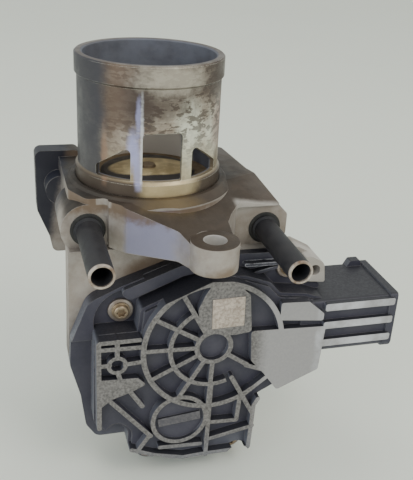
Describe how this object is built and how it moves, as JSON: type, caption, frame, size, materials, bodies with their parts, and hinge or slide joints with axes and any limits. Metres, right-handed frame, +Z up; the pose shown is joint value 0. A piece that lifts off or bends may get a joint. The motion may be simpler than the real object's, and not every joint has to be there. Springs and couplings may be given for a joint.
{
  "type": "egr valve",
  "caption": "Exhaust gas recirculation poppet valve with a windowed port tube, coolant pipes and a geared motor actuator under a ribbed cover.",
  "frame": {"origin": "where the port tube's axis meets the deck face that the tube stands on, at the foot of the pilot ring", "axes": "+Z up out of the port tube, +X towards the electrical connector, -Y towards the actuator cover and the coolant pipes' ends"},
  "size_m": [0.1523, 0.1035, 0.1822],
  "materials": {
    "cast_aluminium": "as cast, stained by exhaust heat",
    "tube_steel": "turned steel with heat tint and soot",
    "valve_steel": "ground steel, browned by heat",
    "coated_pipe": "matte black coating, bare ends",
    "cover_plastic": "glass filled moulding, worn rib tops",
    "seal_rubber": "matte rubber",
    "screw_steel": "passivated steel",
    "sleeve_steel": "turned steel",
    "bush_bronze": "sintered bronze",
    "shaft_steel": "ground steel",
    "gear_plastic": "natural moulded plastic",
    "pinion_brass": "cut brass",
    "motor_steel": "zinc plated drawn steel",
    "magnet_ferrite": "sintered ferrite",
    "copper": "bare copper",
    "board": "solder masked circuit board",
    "terminal_tin": "tin plated"
  },
  "bodies": {
    "valve_body": {"valve_housing": "cast_aluminium", "port_tube": "tube_steel", "seat_ring": "valve_steel", "stem_seal": "seal_rubber", "stem_bush": "bush_bronze", "coolant_pipe_left": "coated_pipe", "coolant_pipe_right": "coated_pipe", "pipe_seals": "seal_rubber", "linkage_cap": "motor_steel", "shaft_bush": "bush_bronze", "shaft_seal": "seal_rubber", "intermediate_pin": "shaft_steel", "motor_can": "motor_steel", "motor_end_cap": "cover_plastic", "motor_brushes": "magnet_ferrite", "motor_bush_front": "bush_bronze", "motor_bush_rear": "bush_bronze", "motor_magnets": "magnet_ferrite", "motor_screws": "screw_steel", "actuator_cover": "cover_plastic", "cover_gasket": "seal_rubber", "cover_sleeves": "sleeve_steel", "cover_screws": "screw_steel", "sensor_board": "board", "connector_terminals": "terminal_tin", "return_spring": "shaft_steel"},
    "valve": {"valve_disc": "valve_steel", "valve_stem": "shaft_steel", "stem_yoke": "shaft_steel", "spring_retainer": "shaft_steel", "roller_pin": "shaft_steel"},
    "roller": {"roller": "shaft_steel"},
    "output_lever": {"output_shaft": "shaft_steel", "output_gear": "gear_plastic", "fork_lever": "shaft_steel", "shaft_circlip": "shaft_steel", "sensor_magnet": "magnet_ferrite"},
    "intermediate": {"intermediate_gear": "gear_plastic"},
    "motor_rotor": {"motor_shaft": "shaft_steel", "motor_pinion": "pinion_brass", "rotor_core": "shaft_steel", "commutator": "copper"}
  },
  "joints": [
    {"name": "motor_turn", "type": "hinge", "parent": "valve_body", "child": "motor_rotor", "pos_m": [0.0067, 0, -0.0986], "axis": [0, 1, 0], "range_deg": [0, 500]},
    {"name": "intermediate_turn", "type": "hinge", "parent": "valve_body", "child": "intermediate", "pos_m": [-0.00444, 0, -0.0801], "axis": [0, 1, 0], "range_deg": [-113.74, 0]},
    {"name": "output_turn", "type": "hinge", "parent": "valve_body", "child": "output_lever", "pos_m": [0.0204, 0, -0.0624], "axis": [0, 1, 0], "range_deg": [0, 25.02]},
    {"name": "valve_lift", "type": "slide", "parent": "valve_body", "child": "valve", "axis": [0, 0, 1], "range_m": [0, 0.00906], "deforming": ["return_spring"]},
    {"name": "roller_turn", "type": "hinge", "parent": "valve", "child": "roller", "pos_m": [0, 0, -0.06692], "axis": [0, 1, 0], "continuous": true}
  ],
  "couplings": [
    {"joint": "intermediate_turn", "follows": "motor_turn", "ratio": -0.22727},
    {"joint": "output_turn", "follows": "motor_turn", "ratio": 0.05},
    {"joint": "valve_lift", "follows": "motor_turn", "m_per_rad": 0.0010365}
  ]
}
